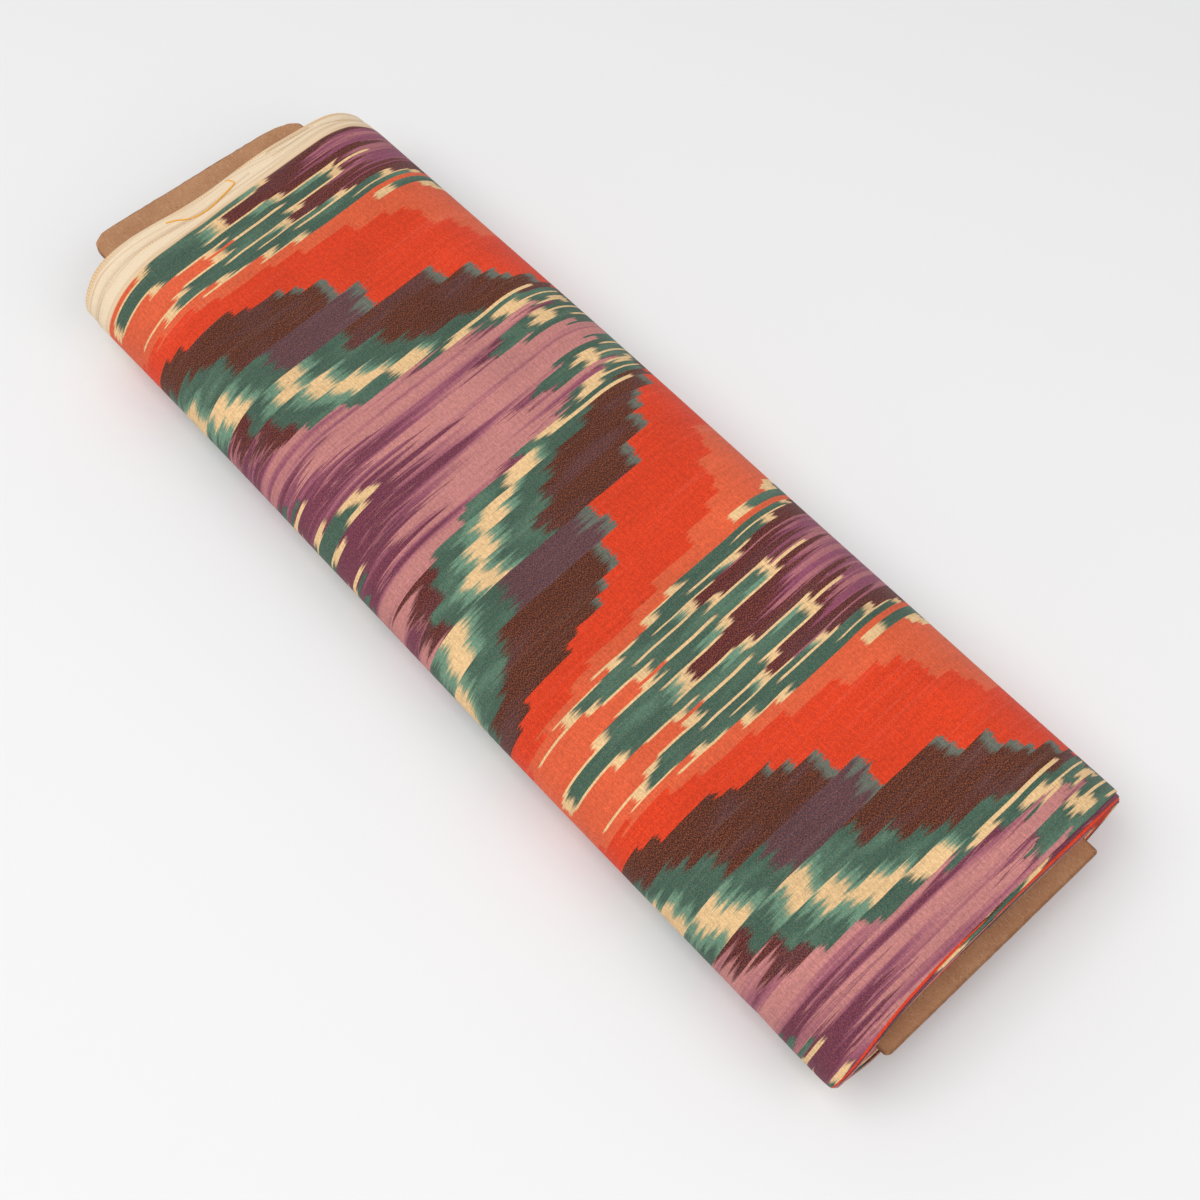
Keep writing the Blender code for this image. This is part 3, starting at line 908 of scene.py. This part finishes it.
# %% Group: ikat
# The range, in metres, over which a colour's end may move: by each thread, by threads side by
# side, and where two colours meet softly. Whole bundles wander sideways too.
THREAD_WIDTH = 0.00045
THREAD_SLIP, SHARED_SLIP, DRAWN_OUT, WANDER = 0.0036, 0.0085, 0.26, 0.0011
ikat, tree, inputs, outputs = new_group(
    "ikat", [("Place", "Vector")], [("Colour", "Color"), ("Thread", "Float")])
place = tree.parts(inputs[0])
thread_number = tree.math("FLOOR", tree.math("DIVIDE", place[0], THREAD_WIDTH))
own = tree.add("TexWhiteNoise", noise_dimensions="1D")
tree.join(thread_number, own.inputs["W"])
fine_slip = tree.streaks(place, 1000.0, 22.0)
slip = tree.math("MULTIPLY_ADD", tree.minus(own.outputs[0], 0.5), THREAD_SLIP,
                 tree.times(tree.minus(fine_slip, 0.5), SHARED_SLIP))
wide_slip = tree.streaks(place, 330.0, 3.0, 7.0)
drawn = tree.times(tree.minus(wide_slip, 0.5), DRAWN_OUT)
wander = tree.streaks(place, 0.0, 38.0, detail=1.0, roughness=0.5)
wandered = tree.math("MULTIPLY_ADD", tree.minus(wander, 0.5), WANDER, place[0])
half = MM * HALF_REPEAT
folded_across = tree.math("PINGPONG", tree.minus(wandered, MAUVE_MIDDLE), half)
span_along = ALONG_TOP - ALONG_LOW
folded_along = tree.math("PINGPONG", tree.minus(place[1], ALONG_LOW), span_along)
down = tree.plus(folded_along, ALONG_LOW)
MIDDLE_BUNDLE = len(BUNDLES) // 2
split = BUNDLES[MIDDLE_BUNDLE - 1][0]
first_half = chart_colour(tree, folded_across, down, slip, drawn, BUNDLES[:MIDDLE_BUNDLE], 0.0, split)
second_half = chart_colour(tree, folded_across, down, slip, drawn, BUNDLES[MIDDLE_BUNDLE:], split, half)
charted = tree.mix(tree.math("GREATER_THAN", folded_across, split), first_half, second_half)


def near_dye(tree, colour, name, near=0.012, far=0.040):
    """1 where the colour is that dye, and 0 where it lies well away from it."""
    distance = tree.add("VectorMath", operation="DISTANCE")
    tree.join(colour, distance.inputs[0])
    tree.join(DYES[name][:3], distance.inputs[1])
    return tree.span(distance.outputs["Value"], far, near)


# The mauve field and its plum ends share one set of streaks: the heavier they are, the darker the dye
in_plum = near_dye(tree, charted, "plum")
in_field = tree.math("MAXIMUM", near_dye(tree, charted, "mauve", 0.06, 0.20), in_plum)
lower_part = tree.span(down, 0.060, -0.090, -0.04, 0.045)
broad = tree.streaks(place, 95.0, 4.0, 3.0, detail=1.0, roughness=0.5)
narrow = tree.streaks(place, 260.0, 7.0, 11.0)
heavy = tree.math("MULTIPLY_ADD", narrow, 0.35, tree.times(broad, 0.65))
heavy = tree.plus(tree.math("MULTIPLY_ADD", in_plum, 0.13, heavy), lower_part)
field = tree.mix(tree.times(tree.span(heavy, 0.50, 0.60), 0.85), DYES["mauve"], DYES["violet"])
field = tree.mix(tree.times(tree.span(heavy, 0.60, 0.67), 0.9), field, DYES["plum"])
charted = tree.mix(in_field, charted, field)
in_pink = tree.times(near_dye(tree, charted, "violet"), tree.span(narrow, 0.46, 0.58))
in_pink = tree.times(in_pink, tree.minus(1.0, in_field))
charted = tree.mix(tree.times(in_pink, 0.55), charted, DYES["mauve"])
# Dye that took unevenly: paler patches in the green, and slate ones in the brown
patches = tree.streaks(place, 70.0, 16.0, 5.0)
pale = tree.times(near_dye(tree, charted, "green"), tree.span(patches, 0.50, 0.74, 0.0, 0.42))
charted = tree.mix(pale, charted, DYES["teal"])
greyed = tree.times(near_dye(tree, charted, "brown"), tree.span(patches, 0.50, 0.68, 0.0, 0.5))
charted = tree.mix(greyed, charted, DYES["slate"])
tree.join(charted, outputs[0])
tree.join(own.outputs[0], outputs[1])
print("ikat group:", len(ikat.nodes), "nodes")

# %% [markdown]
# The cloth is a plain weave, two threads to the millimetre. Its weft is tan, and shows as specks
# where the dyed warp is dark. Displaced geometry would need millions of faces for threads this
# fine, so the weave is a height for the Bump node, worked out in the cloth's own places, with a
# rib for every two threads.

# %% Group: weave
weave, tree, inputs, outputs = new_group(
    "weave", [("Place", "Vector"), ("Pitch", "Float")],
    [("Height", "Float"), ("Weft", "Float"), ("Slub", "Float"), ("Lumps tone and shade", "Float")])
place = tree.parts(inputs[0])
bend = tree.noise(inputs[0], 60.0, 1.0, 0.5)
warp_turn = tree.times(tree.math("DIVIDE", place[0], inputs[1]), np.pi)
weft_turn = tree.times(tree.math("DIVIDE", place[1], inputs[1]), np.pi)
weft_turn = tree.math("MULTIPLY_ADD", bend, 1.5, weft_turn)
over = tree.times(tree.math("SINE", warp_turn), tree.math("SINE", weft_turn))
ribs = tree.math("ABSOLUTE", over)
specks = tree.streaks(place, 1300.0, 2200.0, detail=1.0)
slubs = tree.streaks(place, 60.0, 1300.0, roughness=0.5)
lumps = tree.math("MULTIPLY_ADD", slubs, 0.25, tree.times(specks, 0.60))
tree.join(tree.math("MULTIPLY_ADD", ribs, 0.15, lumps), outputs[0])
between = tree.times(tree.span(over, 0.1, -0.9), 0.10)
weft_shows = tree.math("MULTIPLY_ADD", tree.span(specks, 0.48, 0.62), 0.75, between)
tree.join(weft_shows, outputs[1])
tree.join(slubs, outputs[2])
# The lumps also go out for the cloth's colour. There they paint shade into the weave's low spots and light
# onto its lumps, besides the yarn's own uneven tone.
tree.join(lumps, outputs[3])
print("weave group:", len(weave.nodes), "nodes")

# %% [markdown]
# A hand-dyed cloth that was kept for years has no even colour. Light wear, dust and uneven dye
# show as slow clouds, and as finer streaks along the warp. They could be painted on. Noise is
# used instead, stretched along the warp, so that it follows the threads round the roll.

# %% Group: fading
fading, tree, inputs, outputs = new_group(
    "fading", [("Place", "Vector")], [("Cloud", "Float"), ("Streak", "Float")])
place = tree.parts(inputs[0])
tree.join(tree.noise(inputs[0], 22.0, 3.0, 0.55), outputs[0])
tree.join(tree.streaks(place, 420.0, 9.0), outputs[1])
print("fading group:", len(fading.nodes), "nodes")


# %% Helpers for materials
def new_material(name, roughness):
    """A material with its Principled shader, and the Tree that fills it."""
    material = bpy.data.materials.new(name)
    material.use_nodes = True
    shader = material.node_tree.nodes["Principled BSDF"]
    shader.inputs["Roughness"].default_value = roughness
    shader.inputs["Specular IOR Level"].default_value = 0.25
    return material, Tree(material.node_tree), shader


def bump(tree, shader, height, distance):
    """Feeds a height to the shader's normal through a Bump node."""
    made = tree.add("Bump")
    made.inputs["Strength"].default_value = 1.0
    made.inputs["Distance"].default_value = distance
    tree.join(height, made.inputs["Height"])
    tree.join(made.outputs[0], shader.inputs["Normal"])


# %% [markdown]
# The finish of the cloth is matt cotton with a faint sheen. It takes the pattern's colours, uneven
# dye along the threads, tan weft specks, and cream selvages with a row of yellow stitches. All
# turns share this one material, because their places in the cloth already tell them apart.

# %% Material: ikat cloth
# The height of the weave, the stitching's radians for each metre of warp, and how far in it lies
WEAVE_RELIEF, STITCH_TURNS, STITCHES_IN = 0.00030, 3300.0, 0.0008
ikat_cloth, tree, shader = new_material("ikat cloth", 0.86)
shader.inputs["Sheen Weight"].default_value = 0.08
shader.inputs["Sheen Roughness"].default_value = 0.5
place = tree.add("Attribute", attribute_name="cloth_place").outputs["Vector"]
parts = tree.parts(place)
edge = tree.add("Attribute", attribute_name="from_edge").outputs["Fac"]
dyed, thread = use_group(tree, ikat, place)
height, weft, slub, lumps_tone_and_shade = use_group(tree, weave, place, 2.0 * THREAD_WIDTH)
cloud, streak = use_group(tree, fading, place)
colour = tree.mix(tree.span(streak, 0.50, 0.78, 0.0, 0.16), dyed, (0.50, 0.46, 0.54, 1.0), "MULTIPLY")
colour = tree.mix(tree.span(streak, 0.42, 0.26, 0.0, 0.02), colour, (1.0, 0.86, 0.76, 1.0), "SCREEN")
dark = tree.add("RGBToBW")
tree.join(dyed, dark.inputs[0])
weft_share = tree.times(weft, tree.span(dark.outputs[0], 0.02, 0.10, 0.48, 0.20))
colour = tree.mix(weft_share, colour, WEFT_TAN)
uneven = tree.plus(tree.span(cloud, 0.3, 0.7, 0.90, 1.06), tree.span(thread, 0.0, 1.0, -0.03, 0.03))
mottle = tree.streaks(parts, 420.0, 700.0, detail=1.0)
uneven = tree.plus(uneven, tree.span(mottle, 0.3, 0.7, -0.10, 0.10))
colour = tree.mix(1.0, colour, uneven, "MULTIPLY")
# Painted shade and light of the weave's relief: darker where its lumps are low, lighter where they are
# high, as well as the yarn's own uneven tone.
colour = tree.mix(1.0, colour, tree.span(lumps_tone_and_shade, 0.28, 0.57, 0.76, 1.15), "MULTIPLY")
soiled = tree.span(tree.noise(place, 150.0, 3.0, 0.7), 0.70, 0.78, 0.0, 0.5)
colour = tree.mix(soiled, colour, dye(92, 36, 24))
in_band = tree.span(parts[2], 0.0004, -0.0004)
cream = tree.mix(tree.span(weft, 0.2, 1.0, 0.0, 0.5), SELVAGE_CREAM, dye(226, 186, 136))
cream = tree.mix(tree.span(parts[2], -0.0040, 0.0, 0.0, 0.55), cream, dye(222, 180, 132))
cream = tree.mix(tree.span(streak, 0.50, 0.70, 0.0, 0.7), cream, (0.74, 0.62, 0.50, 1.0), "MULTIPLY")
colour = tree.mix(in_band, colour, cream)
stitch = tree.math("SINE", tree.times(parts[1], STITCH_TURNS))
in_row = tree.span(tree.math("ABSOLUTE", tree.minus(edge, STITCHES_IN)), 0.0009, 0.0003)
stitched = tree.times(in_row, tree.span(stitch, -0.1, 0.5))
faded = tree.span(cloud, 0.46, 0.60, 0.10, 0.75)
stitched = tree.times(tree.times(stitched, in_band), faded)
colour = tree.mix(stitched, colour, THREAD_YELLOW)
tree.join(colour, shader.inputs["Base Color"])
tree.join(tree.span(slub, 0.3, 0.7, 0.80, 0.92), shader.inputs["Roughness"])
bump(tree, shader, height, WEAVE_RELIEF)
outer_turn.data.materials.append(ikat_cloth)
wound_turns.data.materials.append(ikat_cloth)
print("ikat cloth:", len(ikat_cloth.node_tree.nodes), "nodes")

# %% [markdown]
# The loose thread is yellow dyed cotton. Its two near yellows are painted light and shade of
# fibres that catch the light unevenly.
# Strands could be modelled, but at its width they would hardly show, so noise stands for them.

# %% Material: loose thread
material, tree, shader = new_material("yellow cotton thread", 0.7)
where = tree.add("TexCoord").outputs["Object"]
fuzz_and_sheen = tree.noise(where, 1800.0, 2.0, 0.6)
# Painted glints: the yellow is paler where the fibre noise is high and deeper where it is low.
colour = tree.mix(tree.span(fuzz_and_sheen, 0.3, 0.7), dye(234, 156, 26), dye(250, 192, 72))
tree.join(colour, shader.inputs["Base Color"])
bump(tree, shader, fuzz_and_sheen, 0.0001)
loose_thread.data.materials.append(material)
print("yellow cotton thread:", len(material.node_tree.nodes), "nodes")

# %% [markdown]
# Bolt board card is grey-brown pulp, pressed flat. Close up it has short fibres and darker and
# paler specks, and a ragged band under 2 mm wide along its outline is darker, where its edge is
# also rougher. A photograph of card would do it, but noise at three sizes, in the card's own
# coordinates, gives the same at any distance.

# %% Material: card
# How raggedly the darker edge starts
RAGGED = 0.0022
material, tree, shader = new_material("bolt board card", 0.88)
where = tree.add("TexCoord").outputs["Object"]
stretch = tree.add("Mapping")
tree.join(where, stretch.inputs[0])
stretch.inputs["Scale"].default_value = (0.45, 1.0, 1.0)
pulp = tree.noise(where, 55.0, 3.0, 0.55)
fibres = tree.noise(stretch.outputs[0], 900.0, 3.0, 0.7)
specks = tree.noise(where, 1500.0, 1.0, 0.5)
colour = tree.mix(tree.span(pulp, 0.3, 0.7), dye(174, 125, 90), dye(188, 140, 103))
colour = tree.mix(tree.span(fibres, 0.52, 0.72, 0.0, 0.45), colour, dye(216, 178, 142))
colour = tree.mix(tree.span(specks, 0.60, 0.75, 0.0, 0.6), colour, dye(112, 74, 50))
place = tree.parts(where)
ragged = tree.math("MULTIPLY_ADD", tree.noise(where, 260.0, 3.0, 0.6), RAGGED, -0.5 * RAGGED)
to_end = tree.minus(HALF_LENGTH, tree.math("ABSOLUTE", place[0]))
to_side = tree.minus(HALF_WIDTH, tree.math("ABSOLUTE", place[1]))
to_edge = tree.plus(tree.math("MINIMUM", to_end, to_side), ragged)
# Darker within 1.6 mm of the outline, over the card's rounded edge and the rim of its top.
colour = tree.mix(tree.span(to_edge, 0.0016, 0.0004, 0.0, 0.55), colour, dye(104, 66, 42))
tree.join(colour, shader.inputs["Base Color"])
tree.join(tree.span(fibres, 0.3, 0.7, 0.82, 0.93), shader.inputs["Roughness"])
bump(tree, shader, tree.plus(fibres, tree.times(pulp, 0.5)), 0.00012)
card.data.materials.append(material)
print("bolt board card:", len(material.node_tree.nodes), "nodes")

# %% [markdown]
# The floor is plain and pale, and the light is a wide soft box above and a little towards the
# camera, with a weaker one opposite. So the shadows are faint and close to the bolt, as they are
# in a light tent.

# %% Floor and light
floor = put_mesh("floor", [(-6, -6, 0), (6, -6, 0), (6, 6, 0), (-6, 6, 0)], [(0, 1, 2, 3)], flat=True)
material, tree, shader = new_material("pale floor", 0.9)
shader.inputs["Base Color"].default_value = (0.87, 0.87, 0.875, 1.0)
floor.data.materials.append(material)


def soft_box(name, place, size, power):
    """A square area light that looks at the middle of the bolt's footprint."""
    data = bpy.data.lights.new(name, "AREA")
    data.shape = "SQUARE"
    data.size = size
    data.energy = power
    lamp = bpy.data.objects.new(name, data)
    back = np.array(place) / np.linalg.norm(place)
    right = np.cross((0.0, 1.0, 0.0), back)
    right = right / np.linalg.norm(right)
    axes = np.array([right, np.cross(back, right), back, place]).T
    lamp.matrix_world = Matrix(np.vstack([axes, [0.0, 0.0, 0.0, 1.0]]).tolist())
    bpy.context.scene.collection.objects.link(lamp)


# Place and size in metres, power in watts
soft_box("key light", (-0.3, -0.9, 1.9), 1.6, 21.5)
soft_box("fill light", (1.3, 0.2, 1.3), 1.4, 7.5)
world = bpy.data.worlds.new("studio")
world.use_nodes = True
background = world.node_tree.nodes["Background"]
background.inputs["Color"].default_value = (1.0, 1.0, 1.0, 1.0)
background.inputs["Strength"].default_value = 0.54
bpy.context.scene.world = world
